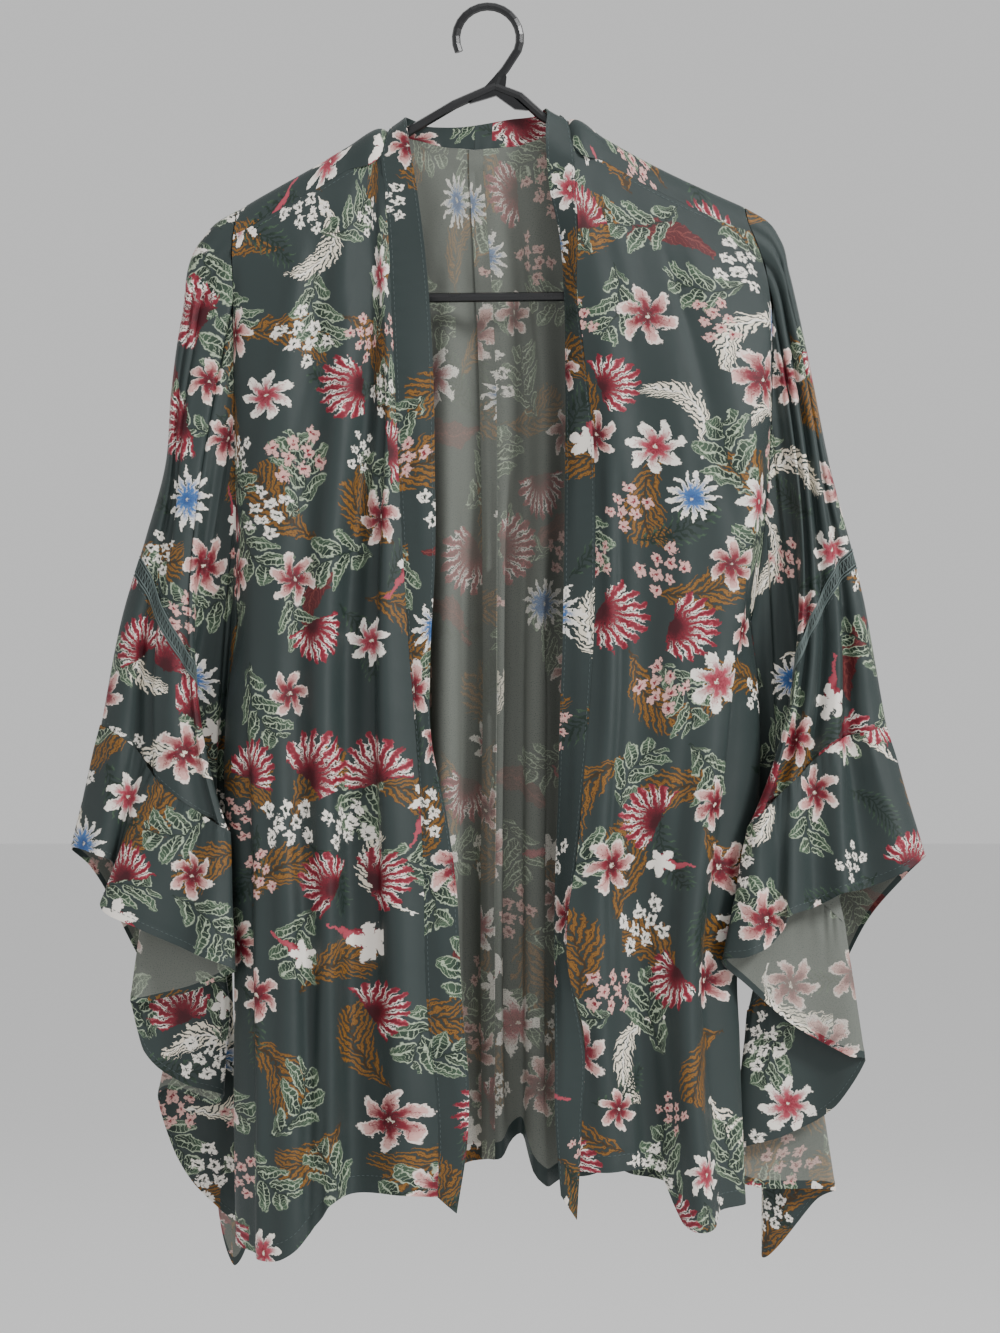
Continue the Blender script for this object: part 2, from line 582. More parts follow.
def sleeve_grid(side, levels, columns):
    """Grid of the sleeve: levels are shares of its length, columns run round it."""
    places, names, cuff, _, mean = sleeve_rows(side)
    under = places[names.index("underarm")]
    late_from, late_to = places[names.index("inner_turn_1")], places[names.index("leg_2_middle")]
    sign = SIGN[side]
    u = columns % 1.0
    front = u <= under
    share = np.where(front, u / under, (1 - u) / (1 - under))
    facing = np.where(front, -1.0, 1.0)
    hole = armhole_points(side, share, 1)
    ahead = armhole_points(side, np.minimum(1.0, share + 0.01), 1)
    trail = ahead - armhole_points(side, np.maximum(0.0, share - 0.01), 1)
    hole[:, 1] *= facing
    trail[:, 1] *= facing
    outward = unit(np.stack((-trail[:, 2], np.zeros(len(u)), trail[:, 0]), axis=1)) * sign
    hole = hole + outward * ARMHOLE_STEP
    seam, straight = hermite(*cuff, u, True), hermite(*mean, u)
    late = np.where(u < under, smooth_step(late_from, late_to, u), 0.0)
    near_top = 1 - smooth_step(0.0, TOP_SHARE, np.minimum(u, 1 - u))
    delay = FOLD_DELAY - LEG_DELAY * late
    grid = []
    for s in levels:
        target = straight[:, 0] + (seam[:, 0] - straight[:, 0]) * s ** 2
        stand = table_curve(OUTER_FOLD[side], s)[0, 0] * near_top
        x = hole[:, 0] + (target - hole[:, 0]) * s + sign * stand
        y = hole[:, 1] + (straight[:, 1] - hole[:, 1]) * s ** EARLY_DEPTH
        y += (seam[:, 1] - straight[:, 1]) * s ** delay
        z = hole[:, 2] + (seam[:, 2] - hole[:, 2]) * s
        grid.append(np.stack((x, y, z), axis=1))
    return np.array(grid)


def ruffle_grid(side, levels, columns):
    """Grid of the ruffle from the cuff seam to its hem."""
    _, _, cuff, hem, _ = sleeve_rows(side)
    u = columns % 1.0
    top, foot = hermite(*cuff, u, True), hermite(*hem, u, True)
    return np.array([top + (foot - top) * r for r in levels])

# %% [markdown]
# Satin hangs in long soft folds, with shallow creases between them. A crease here is placed by
# hand: where it lies across the piece at its top and its foot, how wide and how deep it is, and
# where it starts and fades. One side of each is steeper than the other, as in real cloth.

# %% Creases pressed into a grid of cloth
# Shares of a crease's length over which it starts and fades, and how much steeper one side is
CREASE_START, CREASE_FADE, CREASE_LEAN = 0.25, 0.3, 0.25
STEEPEST = 0.15


def crease_lift(across, down, creases):
    """Heights of soft troughs (depth below zero) and ridges over a grid."""
    lift = np.zeros((len(down), len(across)))
    for top, foot, start, end, width, depth in creases:
        t = np.clip((down - start) / (end - start), 0.0, 1.0)
        middle = top + (foot - top) * t
        fade = smooth_step(0.0, CREASE_START, t) * smooth_step(0.0, CREASE_FADE, 1 - t)
        offset = (across[None, :] - middle[:, None]) / width
        lift += depth * fade[:, None] * np.exp(-offset ** 2) * (1 - CREASE_LEAN * offset)
    return lift


def grid_normals(grid, closed=False):
    """Unit normals of a grid, pointing the way that the part's outer faces do."""
    if closed:
        along = np.roll(grid, -1, axis=1) - np.roll(grid, 1, axis=1)
    else:
        along = np.gradient(grid, axis=1)
    return unit(np.cross(along, np.gradient(grid, axis=0)))


def lengths_across(grid):
    """Running length of each column's middle line, in millimetres."""
    return running(lengths_of(grid, 1).mean(axis=0))


def lengths_down(grid):
    return running(lengths_of(grid).mean(axis=1))


def flat_places(grid, closed):
    """Places of a grid's points on the flat cloth, with the slant between its lines undone."""
    ring = np.concatenate((grid, grid[:, :1]), axis=1) if closed else grid
    along, fall = np.diff(ring, axis=1), np.diff(ring, axis=0)
    down = np.concatenate((np.zeros((1, ring.shape[1])), np.cumsum(lengths_of(ring), axis=0)))
    fall = unit(np.concatenate((fall, fall[-1:])))
    drop = (along * (fall[:, 1:] + fall[:, :-1]) / 2).sum(axis=2).mean(axis=0)
    length = lengths_of(ring, 1).mean(axis=0)
    run = np.sqrt(np.maximum(length ** 2 - drop ** 2, (STEEPEST * length) ** 2))
    y = running(drop)[None] + down - down[len(grid) // 2]
    flat = np.stack((np.broadcast_to(running(run), y.shape), y), axis=2)
    return flat - flat.reshape(-1, 2).min(axis=0)

# %% [markdown]
# Printed cloth is printed flat and then cut, so the motifs bend with the folds. Each face of a shell
# is told which motif lies nearest to it, and its corners store their place in that motif. The
# material can then draw a sharp petal or leaf from two numbers, however coarse the mesh is.

# %% Layout of the print on the flat cloth
# Each layer's spacing and its smallest and largest motif, in millimetres
LAYERS = {"frond": (78.0, 62.0, 78.0), "spray": (68.0, 52.0, 68.0), "bloom": (52.0, 34.0, 52.0)}
ROW_PITCH = 0.87
STRAY = 0.1
# The kinds of a layer share the numbers from 0 to 1, and what lies above leaves a place empty
KINDS_END = 1.22


def lay_motifs(layer, width, length, seed):
    """Centres, turns, sizes and kinds of one layer's motifs on a flat piece, in millimetres."""
    chance = np.random.default_rng(seed)
    step, low, high = LAYERS[layer]
    motifs = []
    for j in range(int(length / (step * ROW_PITCH)) + 3):
        for i in range(int(width / step) + 3):
            x = (i - 1 + 0.5 * (j % 2)) * step + chance.uniform(-STRAY, STRAY) * step
            y = (j - 1) * step * ROW_PITCH + chance.uniform(-STRAY, STRAY) * step
            turn, size = chance.uniform(0, 2 * math.pi), chance.uniform(low, high)
            motifs.append((x, y, turn, size, chance.uniform(0, KINDS_END)))
    return np.array(motifs)


def store_print(mesh, corner_flat, seed):
    """Stores for every face corner its place in the nearest motif of each layer."""
    face_flat = corner_flat.reshape(-1, 4, 2).mean(axis=1)
    for number, layer in enumerate(LAYERS):
        motifs = lay_motifs(layer, *corner_flat.max(axis=0), seed * 10 + number)
        apart = np.linalg.norm(face_flat[:, None] - motifs[None, :, :2], axis=2)
        corners = np.repeat(motifs[np.argmin(apart, axis=1)], 4, axis=0)
        x, y = ((corner_flat - corners[:, :2]) / corners[:, 3:4]).T
        cos, sin = np.cos(corners[:, 2]), np.sin(corners[:, 2])
        local = np.stack((x * cos + y * sin, y * cos - x * sin, corners[:, 4]), axis=1)
        store = mesh.attributes.new(layer + "_place", "FLOAT_VECTOR", "CORNER")
        store.data.foreach_set("vector", local.astype(np.float32).ravel())

# %% [markdown]
# A shell is two layers of one grid, joined at the rims, so that the cloth has its printed face
# and its paler wrong side. Where a hem is turned up, the printed side shows on the inside too.

# %% Shells from grids
WALL = 1.0
SHARP_EDGE = 60


def shell(name, grid, out, materials, seed, closed=False, turn_up=0.0):
    """Closed shell over a grid of points in millimetres, with its flat lengths as UV."""
    depth, width = grid.shape[:2]
    count = depth * width
    wall = grid_normals(grid, closed) * out * WALL / 2
    points = np.concatenate(((grid + wall).reshape(-1, 3), (grid - wall).reshape(-1, 3)))
    steps = width if closed else width - 1
    j, i = (axis.ravel() for axis in np.meshgrid(np.arange(depth - 1), np.arange(steps), indexing="ij"))
    top, foot, right = j * width, (j + 1) * width, (i + 1) % width
    quads = np.stack((top + i, top + right, foot + right, foot + i), axis=1)
    rims = [np.arange(width), count - width + np.arange(width)[::-1]]
    if closed:
        rims = [np.append(rim, rim[0]) for rim in rims]
    else:
        rims += [np.arange(depth)[::-1] * width, np.arange(depth) * width + width - 1]
    rim_quads = np.vstack([np.stack((rim[1:], rim[:-1], rim[:-1] + count, rim[1:] + count), axis=1)
                           for rim in rims])
    faces = np.vstack((quads, quads[:, ::-1] + count, rim_quads))
    flat, down = flat_places(grid, closed), lengths_down(grid)
    quad_flat = np.stack((flat[j, i], flat[j, i + 1], flat[j + 1, i + 1], flat[j + 1, i]), axis=1)
    rim_flat = flat[:, :width].reshape(-1, 2)[rim_quads % count]
    corner_flat = np.concatenate((quad_flat, quad_flat[:, ::-1], rim_flat)).reshape(-1, 2)
    mesh = bpy.data.meshes.new(name)
    mesh.from_pydata((points * MM).tolist(), [], faces.tolist())
    mesh.uv_layers.new(name="cloth").data.foreach_set("uv", (corner_flat * MM).astype(np.float32).ravel())
    if seed is not None:
        store_print(mesh, corner_flat, seed)
    for material in materials:
        mesh.materials.append(material)
    kinds = np.zeros(len(faces), dtype=np.int32)
    kinds[len(quads):2 * len(quads)] = down[j] < down[-1] - turn_up
    mesh.polygons.foreach_set("material_index", kinds)
    mesh.shade_smooth()
    work = bmesh.new()
    work.from_mesh(mesh)
    if work.calc_volume(signed=True) < 0:
        bmesh.ops.reverse_faces(work, faces=work.faces)
        work.to_mesh(mesh)
    work.free()
    mesh.set_sharp_from_angle(angle=math.radians(SHARP_EDGE))
    piece = add_object(name, mesh)
    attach(piece, "root")
    columns = lengths_of(grid).sum(axis=0)
    print(name, len(faces), "faces, flat width %.0f mm," % flat[..., 0].max(),
          "length %.0f to %.0f mm" % (columns.min(), columns.max()))
    return piece

# %% [markdown]
# The print is drawn with plain maths. Each motif is a rule on two numbers: how far along it and how
# far to its side a point lies. A frond is a comb of slanted leaflets inside an outline, a leaf
# spray is the same with few broad leaflets, and a flower is a star whose radius swings with the
# angle. A small helper class keeps the node trees readable.

# %% Helper for maths nodes
class Ink:
    """Adds maths and colour nodes to one node tree and returns their sockets."""

    def __init__(self, tree):
        self.tree = tree

    def give(self, socket, value):
        """Links a socket, or sets a plain value."""
        if isinstance(value, bpy.types.NodeSocket):
            self.tree.links.new(value, socket)
        else:
            socket.default_value = value

    def put(self, kind, values, output=0):
        node = self.tree.nodes.new(kind)
        for key, value in values.items():
            self.give(node.inputs[key], value)
        return node, node.outputs[output]

    def maths(self, operation, *values):
        node, out = self.put("ShaderNodeMath", dict(enumerate(values)))
        node.operation = operation
        return out

    def add(self, a, b):
        return self.maths("ADD", a, b)

    def sub(self, a, b):
        return self.maths("SUBTRACT", a, b)

    def mul(self, a, b):
        return self.maths("MULTIPLY", a, b)

    def absolute(self, a):
        return self.maths("ABSOLUTE", a)

    def stripe(self, value):
        """How far a value's fraction lies from its middle, for lines that repeat."""
        return self.absolute(self.sub(self.maths("FRACT", value), 0.5))

    def ramp(self, value, low, high):
        """Soft step from 0 at low to 1 at high, or from 1 to 0 where low is above high."""
        ends = {1: low, 2: high, 3: 0.0, 4: 1.0} if low < high else {1: high, 2: low, 3: 1.0, 4: 0.0}
        node, out = self.put("ShaderNodeMapRange", {0: value, **ends})
        node.interpolation_type = "SMOOTHSTEP"
        return out

    def between(self, value, low, high):
        return self.mul(self.maths("GREATER_THAN", value, low), self.maths("LESS_THAN", value, high))

    def mix(self, factor, a, b):
        node = self.tree.nodes.new("ShaderNodeMix")
        node.data_type = "RGBA"
        for number, value in ((0, factor), (6, a), (7, b)):
            self.give(node.inputs[number], value)
        return node.outputs[2]

    def shift(self, operation, *values):
        """Vector maths."""
        node = self.tree.nodes.new("ShaderNodeVectorMath")
        node.operation = operation
        for number, value in enumerate(values):
            self.give(node.inputs[number], value)
        return node.outputs[0]

    def split(self, vector):
        node, _ = self.put("ShaderNodeSeparateXYZ", {0: vector})
        return node.outputs[0], node.outputs[1], node.outputs[2]

    def attribute(self, name):
        node = self.tree.nodes.new("ShaderNodeAttribute")
        node.attribute_name = name
        return node.outputs["Vector"]

    def cloth_place(self):
        node = self.tree.nodes.new("ShaderNodeUVMap")
        node.uv_map = "cloth"
        return node.outputs["UV"]

    def object_place(self):
        return self.tree.nodes.new("ShaderNodeTexCoord").outputs["Object"]

    def noise(self, vector, scale, detail=2.0, output=0):
        values = {"Vector": vector, "Scale": scale, "Detail": detail}
        return self.put("ShaderNodeTexNoise", values, output)[1]

    def bump(self, height, strength, distance):
        values = {"Height": height, "Strength": strength, "Distance": distance}
        return self.put("ShaderNodeBump", values)[1]


def shade(*screen):
    """Colour from screen values of 0 to 255 to the linear values that a shader takes."""
    return tuple(((v / 255 + 0.055) / 1.055) ** 2.4 if v > 10 else v / 255 / 12.92 for v in screen) + (1.0,)


GROUND, GROUND_DARK = shade(50, 61, 60), shade(33, 42, 41)
OCHRE, OCHRE_DARK = shade(140, 95, 36), shade(62, 46, 24)
WINE, WINE_LIGHT = shade(84, 28, 32), shade(140, 70, 64)
BURGUNDY_DARK, BURGUNDY = shade(66, 10, 22), shade(122, 24, 42)
ROSE, PINK = shade(172, 72, 86), shade(218, 170, 162)
BLUE_DARK, BLUE = shade(40, 66, 120), shade(56, 108, 170)
CREAM, WHITE = shade(236, 226, 206), shade(246, 240, 230)
LEAF, LEAF_DARK, LEAF_PALE = shade(64, 86, 66), shade(26, 42, 34), shade(172, 186, 160)

# %% [markdown]
# Ochre fronds, cream plumes, wine leaves and green sprays are all leaflets on a bent stem. One rule
# draws them: a comb of slanted leaflets whose length swells and fades along the stem.

# %% Combed motifs: fronds, plumes and leaf sprays
def comb(ink, x, y, leaflets, slant, reach, fill, bend):
    """Leaflets on a bent stem: their mask, place across each one, the stem's mask, share of reach."""
    along = ink.add(y, 0.5)
    side = ink.sub(x, ink.mul(ink.mul(y, y), bend))
    out = ink.absolute(side)
    root = ink.sub(along, ink.mul(out, slant))
    inside = ink.between(root, 0.02, 0.98)
    held = ink.maths("MINIMUM", ink.maths("MAXIMUM", root, 0.0), 1.0)
    width = ink.mul(ink.maths("POWER", ink.maths("SINE", ink.mul(held, math.pi)), 0.6), reach)
    share = ink.maths("DIVIDE", out, ink.maths("MAXIMUM", width, 0.001))
    flip = ink.mul(ink.maths("GREATER_THAN", side, 0.0), 0.5)
    across = ink.stripe(ink.add(ink.mul(root, leaflets), flip))
    belly = ink.mul(ink.maths("POWER", ink.maths("MINIMUM", share, 1.0), 0.75), math.pi)
    belly = ink.maths("MAXIMUM", ink.maths("SINE", belly), 0.0)
    limit = ink.mul(ink.maths("POWER", belly, 0.7), fill)
    mask = ink.mul(ink.ramp(ink.sub(across, limit), 0.03, -0.03), inside)
    mask = ink.mul(mask, ink.maths("LESS_THAN", share, 1.0))
    stem = ink.mul(ink.ramp(out, 0.016, 0.006), ink.between(along, 0.0, 0.97))
    return mask, ink.maths("DIVIDE", across, ink.maths("MAXIMUM", limit, 0.01)), stem, share


def stack(ink, under, *layers):
    """Lays masked colours over one another: each layer is one mask or two, and a colour."""
    for *masks, over in layers:
        mask = masks[0] if len(masks) == 1 else ink.mul(*masks)
        under = ink.mix(mask, under, over)
    return under


def frond_layer(ink, under, place):
    x, y, kind = ink.split(place)
    palm = ink.between(kind, 0.0, 0.5)
    mask, across, stem, _ = comb(ink, x, y, 10.0, 1.5, 0.27, 0.4, 0.6)
    tone = stack(ink, OCHRE, (ink.ramp(across, 0.3, 1.0), OCHRE_DARK),
                 (ink.ramp(across, 0.14, 0.05), OCHRE_DARK))
    colour = stack(ink, under, (mask, palm, tone), (stem, palm, OCHRE_DARK))
    plume = ink.between(kind, 0.5, 0.72)
    mask, across, stem, _ = comb(ink, x, y, 12.0, 1.6, 0.16, 0.34, 1.3)
    colour = stack(ink, colour, (mask, plume, CREAM), (stem, plume, WHITE))
    leaf = ink.between(kind, 0.72, 0.88)
    side = ink.sub(x, ink.mul(ink.mul(y, y), 0.8))
    out = ink.absolute(side)
    bulge = ink.mul(ink.maths("SINE", ink.mul(ink.add(y, 0.5), math.pi)), 0.13)
    body = ink.mul(ink.ramp(ink.sub(out, bulge), 0.0, -0.012), ink.between(y, -0.42, 0.42))
    body = ink.mul(body, leaf)
    vein = ink.ramp(ink.stripe(ink.mul(ink.add(ink.mul(out, 1.2), y), 14.0)), 0.1, 0.03)
    lines = ink.mul(ink.maths("MAXIMUM", vein, ink.ramp(out, 0.014, 0.004)), body)
    return stack(ink, colour, (body, WINE), (lines, 0.55, WINE_LIGHT))


def spray_layer(ink, under, place):
    x, y, kind = ink.split(place)
    leaves = ink.between(kind, 0.0, 0.62)
    mask, across, stem, share = comb(ink, x, y, 3.6, 0.8, 0.36, 0.42, -0.7)
    rib = ink.ramp(ink.stripe(ink.add(ink.mul(share, 7.0), across)), 0.12, 0.04)
    tone = stack(ink, LEAF_DARK, (ink.ramp(share, 0.2, 0.8), LEAF), (ink.ramp(across, 0.78, 0.9), LEAF_PALE),
                 (ink.ramp(across, 0.12, 0.05), LEAF_PALE), (rib, 0.7, LEAF_PALE))
    colour = stack(ink, under, (stem, leaves, LEAF_DARK), (mask, leaves, tone))
    needles = ink.between(kind, 0.62, 0.84)
    mask, _, stem, share = comb(ink, x, y, 12.0, 0.8, 0.2, 0.22, 0.6)
    tone = ink.mix(ink.ramp(share, 0.4, 0.9), LEAF_DARK, LEAF)
    return stack(ink, colour, (mask, needles, tone), (stem, needles, LEAF_DARK))

# %% [markdown]
# The flowers are stars: the edge's distance from the middle swings with the angle. Many narrow
# petals make a cornflower, six broad ones a lily, and a star that is cut at its middle makes a fan.

# %% Star motifs: lilies, blossoms, fans and bells
# Span of kinds, petals, waist, sharpness, twist, and colours from the middle outwards
LILIES = (
    (0.0, 0.2, 6, 0.2, 0.85, 1.2, BURGUNDY_DARK, BURGUNDY, PINK),
    (0.2, 0.28, 7, 0.3, 1.0, 0.8, BURGUNDY, ROSE, WHITE),
    (0.28, 0.34, 13, 0.36, 1.5, 0.0, BLUE_DARK, BLUE, WHITE),
)
BLOSSOMS = ((0.36, 0.5, LEAF_DARK, WHITE), (0.5, 0.6, BURGUNDY, PINK))
BLOSSOM_CELLS = 4.0


def star(ink, x, y, petals, waist, sharp, twist=0.0):
    """Share of the way to a flower's edge, and how near a point is to a petal's middle."""
    radius = ink.maths("SQRT", ink.add(ink.mul(x, x), ink.mul(y, y)))
    turned = ink.add(ink.maths("ARCTAN2", y, x), ink.mul(radius, twist))
    swing = ink.absolute(ink.maths("COSINE", ink.mul(turned, petals / 2)))
    edge = ink.add(ink.mul(ink.maths("POWER", swing, sharp), 1.0 - waist), waist)
    return ink.maths("DIVIDE", radius, ink.mul(edge, 0.5)), swing


def lily(ink, x, y, kind, row):
    """Mask and colour of one open flower with streaked petals."""
    low, high, petals, waist, sharp, twist, inner, middle, outer = row
    share, swing = star(ink, x, y, petals, waist, sharp, twist)
    streak = ink.stripe(ink.mul(swing, 5.0))
    tone = stack(ink, inner, (ink.ramp(share, 0.1, 0.42), middle), (ink.ramp(share, 0.36, 0.8), outer),
                 (ink.ramp(swing, 0.5, 0.2), ink.ramp(share, 0.2, 0.5), inner),
                 (ink.ramp(streak, 0.16, 0.05), ink.ramp(share, 0.95, 0.6), middle),
                 (ink.ramp(share, 0.8, 0.92), 0.75, WHITE), (ink.ramp(share, 0.1, 0.06), CREAM))
    return ink.ramp(share, 1.0, 0.95), ink.between(kind, low, high), tone


def blossom(ink, x, y, kind, row):
    """Mask and colour of small blossoms, one to a cell, within a round cluster."""
    low, high, inner, outer = row
    small_x = ink.sub(ink.maths("FRACT", ink.mul(x, BLOSSOM_CELLS)), 0.5)
    cell_y = ink.add(ink.mul(y, BLOSSOM_CELLS), ink.mul(x, 1.3))
    small_y = ink.sub(ink.maths("FRACT", cell_y), 0.5)
    share, _ = star(ink, ink.mul(small_x, 1.05), ink.mul(small_y, 1.05), 5, 0.45, 0.8)
    centre_x = ink.sub(x, ink.mul(small_x, 1 / BLOSSOM_CELLS))
    centre_y = ink.sub(y, ink.mul(small_y, 1 / BLOSSOM_CELLS))
    reach = ink.maths("SQRT", ink.add(ink.mul(centre_x, centre_x), ink.mul(centre_y, centre_y)))
    cluster = ink.mul(ink.ramp(reach, 0.4, 0.38), ink.between(kind, low, high))
    return ink.ramp(share, 1.0, 0.85), cluster, ink.mix(ink.ramp(share, 0.2, 0.4), inner, outer)


def bloom_layer(ink, under, place):
    x, y, kind = ink.split(place)
    colour = stack(ink, under, *(lily(ink, x, y, kind, row) for row in LILIES))
    colour = stack(ink, colour, *(blossom(ink, x, y, kind, row) for row in BLOSSOMS))
    share, swing = star(ink, ink.mul(x, 1.35), ink.add(y, 0.42), 20, 0.5, 0.5)
    fan = ink.mul(ink.ramp(share, 1.75, 1.7), ink.maths("GREATER_THAN", y, -0.42))
    tone = stack(ink, WHITE, (ink.ramp(swing, 0.5, 0.75), ROSE), (ink.ramp(swing, 0.8, 0.95), BURGUNDY),
                 (ink.ramp(share, 1.35, 0.7), BURGUNDY), (ink.ramp(share, 0.75, 0.3), BURGUNDY_DARK),
                 (ink.ramp(swing, 0.3, 0.18), BURGUNDY_DARK))
    colour = stack(ink, colour, (fan, ink.between(kind, 0.6, 0.73), tone))
    bell = ink.between(kind, 0.78, 0.84)
    out = ink.absolute(x)
    taper = ink.add(ink.mul(ink.maths("POWER", ink.add(y, 0.5), 2.0), 0.24), 0.03)
    inside = ink.mul(ink.ramp(ink.sub(out, taper), 0.0, -0.015), ink.between(y, -0.5, 0.3))
    lip, _ = star(ink, x, ink.sub(y, 0.28), 5, 0.3, 0.9)
    tone = ink.mix(ink.ramp(out, 0.02, 0.09), ROSE, BURGUNDY)
    return stack(ink, colour, (inside, bell, tone), (ink.ramp(lip, 0.62, 0.57), bell, WHITE))

# %% [markdown]
# The satin itself has a soft sheen and a very fine weave. Its wrong side is matte and paler, and
# the print only shows through it. Both sides read the same print, so that a flower at a hem
# turns with the cloth.

# %% Printed satin, right side and wrong side
# Scale and amount of the two shakes that make each layer's outlines look drawn by hand
SHAKE = {
    "frond": ((110.0, 0.16), (520.0, 0.04)),
    "spray": ((110.0, 0.14), (520.0, 0.04)),
    "bloom": ((130.0, 0.2), (620.0, 0.09)),
}
DRAW = {"frond": frond_layer, "spray": spray_layer, "bloom": bloom_layer}


def new_material(name, finish):
    """A material whose shader has the plain values of finish, with its node helper."""
    material = bpy.data.materials.new(name)
    material.use_nodes = True
    inputs = material.node_tree.nodes["Principled BSDF"].inputs
    for key, value in finish.items():
        inputs[key].default_value = value
    return material, Ink(material.node_tree), inputs


def weave_bump(ink, uv, depth, scale):
    """Crosswise threads, crepe and slight puckers, as a bump."""
    x, y, _ = ink.split(uv)
    weave = ink.mul(ink.maths("SINE", ink.mul(x, scale)), ink.maths("SINE", ink.mul(y, scale)))
    crepe, pucker = ink.noise(uv, 900.0, 3.0), ink.noise(uv, 26.0, 3.0)
    height = ink.add(ink.add(ink.mul(weave, 0.2), ink.mul(crepe, 0.5)), ink.mul(pucker, 6.0))
    return ink.bump(height, depth, 0.0006)


def printed_colour(ink, uv):
    colour = ink.mix(ink.mul(ink.noise(uv, 9.0), 0.5), GROUND, GROUND_DARK)
    for layer, draw in DRAW.items():
        place = ink.attribute(layer + "_place")
        for scale, amount in SHAKE[layer]:
            shake = ink.noise(uv, scale, 2.0, "Color")
            place = ink.shift("MULTIPLY_ADD", shake, (amount, amount, 0.0), place)
            place = ink.shift("SUBTRACT", place, (amount / 2, amount / 2, 0.0))
        colour = draw(ink, colour, place)
    return colour


def make_satin():
    material, ink, inputs = new_material("printed_satin_face", {
        "Roughness": 0.46, "Specular IOR Level": 0.34, "Sheen Weight": 0.05, "Sheen Roughness": 0.4})
    uv = ink.cloth_place()
    ink.give(inputs["Normal"], weave_bump(ink, uv, 0.35, 12000.0))
    ink.give(inputs["Base Color"], printed_colour(ink, uv))
    return material


def make_wrong_side():
    material, ink, inputs = new_material("printed_satin_wrong_side", {
        "Roughness": 0.85, "Specular IOR Level": 0.2})
    uv = ink.cloth_place()
    ink.give(inputs["Normal"], weave_bump(ink, uv, 0.5, 9000.0))
    show = ink.mix(0.42, printed_colour(ink, uv), shade(164, 166, 156))
    speck = ink.ramp(ink.noise(uv, 1400.0, 1.0), 0.5, 0.8)
    ink.give(inputs["Base Color"], ink.mix(speck, show, shade(84, 90, 86)))
    return material


SATIN, WRONG_SIDE = make_satin(), make_wrong_side()
CLOTH = (SATIN, WRONG_SIDE)
print("satin nodes", len(SATIN.node_tree.nodes))

# %% [markdown]
# The trim is knitted from dark yarn, the coat is sewn with a thread near the ground colour, and the
# hanger is black plastic. Each has its own fine grain, so that none looks like painted clay.

# %% Trim, thread and hanger materials
def make_trim():
    """Knitted tape: fine rows of loops across a dark yarn."""
    material, ink, inputs = new_material("trim_knit", {"Roughness": 0.8})
    x, y, _ = ink.split(ink.cloth_place())
    loops = ink.mul(ink.maths("SINE", ink.mul(x, 3400.0)), ink.maths("SINE", ink.mul(y, 2600.0)))
    tone = ink.mix(ink.ramp(loops, -0.6, 0.7), shade(20, 26, 26), shade(46, 56, 55))
    ink.give(inputs["Base Color"], tone)
    ink.give(inputs["Normal"], ink.bump(loops, 0.8, 0.0005))
    return material


def make_thread(name, colour):
    material, ink, inputs = new_material(name, {"Roughness": 0.65})
    darker = tuple(v * 0.55 for v in colour[:3]) + (1.0,)
    ink.give(inputs["Base Color"], ink.mix(ink.noise(ink.object_place(), 2500.0), darker, colour))
    return material


def make_plastic():
    """Black moulded plastic with faint flow marks and a soft gloss."""
    material, ink, inputs = new_material("hanger_black_plastic", {"Specular IOR Level": 0.5})
    place = ink.object_place()
    flow, grain = ink.noise(place, 60.0, 4.0), ink.noise(place, 1800.0)
    _, rough = ink.put("ShaderNodeMapRange", {0: flow, 1: 0.3, 2: 0.7, 3: 0.24, 4: 0.36})
    ink.give(inputs["Base Color"], ink.mix(flow, shade(14, 15, 17), shade(26, 27, 30)))
    ink.give(inputs["Roughness"], rough)
    ink.give(inputs["Normal"], ink.bump(grain, 0.12, 0.0003))
    return material


TRIM_KNIT, PLASTIC = make_trim(), make_plastic()
SEWING_THREAD = make_thread("sewing_thread", shade(88, 102, 102))
TRIM_YARN = make_thread("trim_yarn", shade(98, 112, 110))

# %% [markdown]
# Stitches and the trim's cords are all threads along short lines. One Geometry Nodes tree turns
# the edges of a mesh into round threads of a named radius. The lines come from the same grids as
# the cloth, so every stitch lies on its seam.

